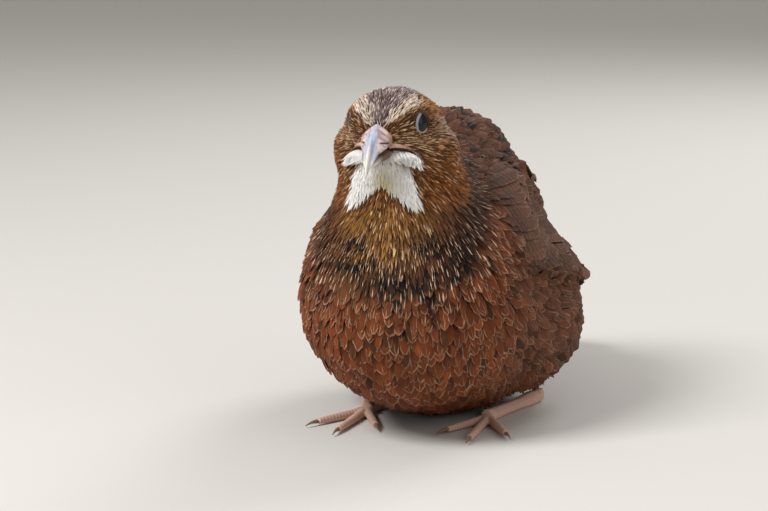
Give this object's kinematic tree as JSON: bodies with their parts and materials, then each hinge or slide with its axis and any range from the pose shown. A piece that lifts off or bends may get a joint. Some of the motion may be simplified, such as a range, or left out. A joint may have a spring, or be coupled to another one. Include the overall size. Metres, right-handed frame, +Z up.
{
  "type": "coturnix quail",
  "caption": "Life-size still model of a coturnix quail resting on the ground, with named head, neck, torso, wings, tail, legs, feet, claws, eyes and bill.",
  "frame": {"origin": "middle of the flat of the belly, on the ground", "axes": "+Z up, the bird faces -Y, its left side is +X"},
  "size_m": [0.0742, 0.1574, 0.0897],
  "materials": {
    "plumage_head": "short barred golden-brown feathers with a white bib",
    "plumage_throat": "ochre and brown feathers with cream streaks",
    "plumage_russet": "dark chestnut feathers with pale edges and black marks",
    "plumage_back": "brown feathers, finely streaked and blotched",
    "horn": "smooth blue-grey horn with a pale tip",
    "eye": "wet, nearly black",
    "skin_pale": "pale pink scaled skin",
    "claw": "brown horn"
  },
  "bodies": {
    "root": {"head": "plumage_head", "neck": "plumage_throat", "torso": "plumage_russet", "tail": "plumage_back", "wing_left": "plumage_back", "wing_right": "plumage_back", "leg_left": "plumage_russet", "leg_right": "plumage_russet", "foot_left": "skin_pale", "foot_right": "skin_pale", "claw_left_1": "claw", "claw_left_2": "claw", "claw_left_3": "claw", "claw_left_4": "claw", "claw_right_1": "claw", "claw_right_2": "claw", "claw_right_3": "claw", "claw_right_4": "claw", "eye_left": "eye", "eye_right": "eye", "bill_upper": "horn", "bill_lower": "horn"}
  },
  "joints": []
}
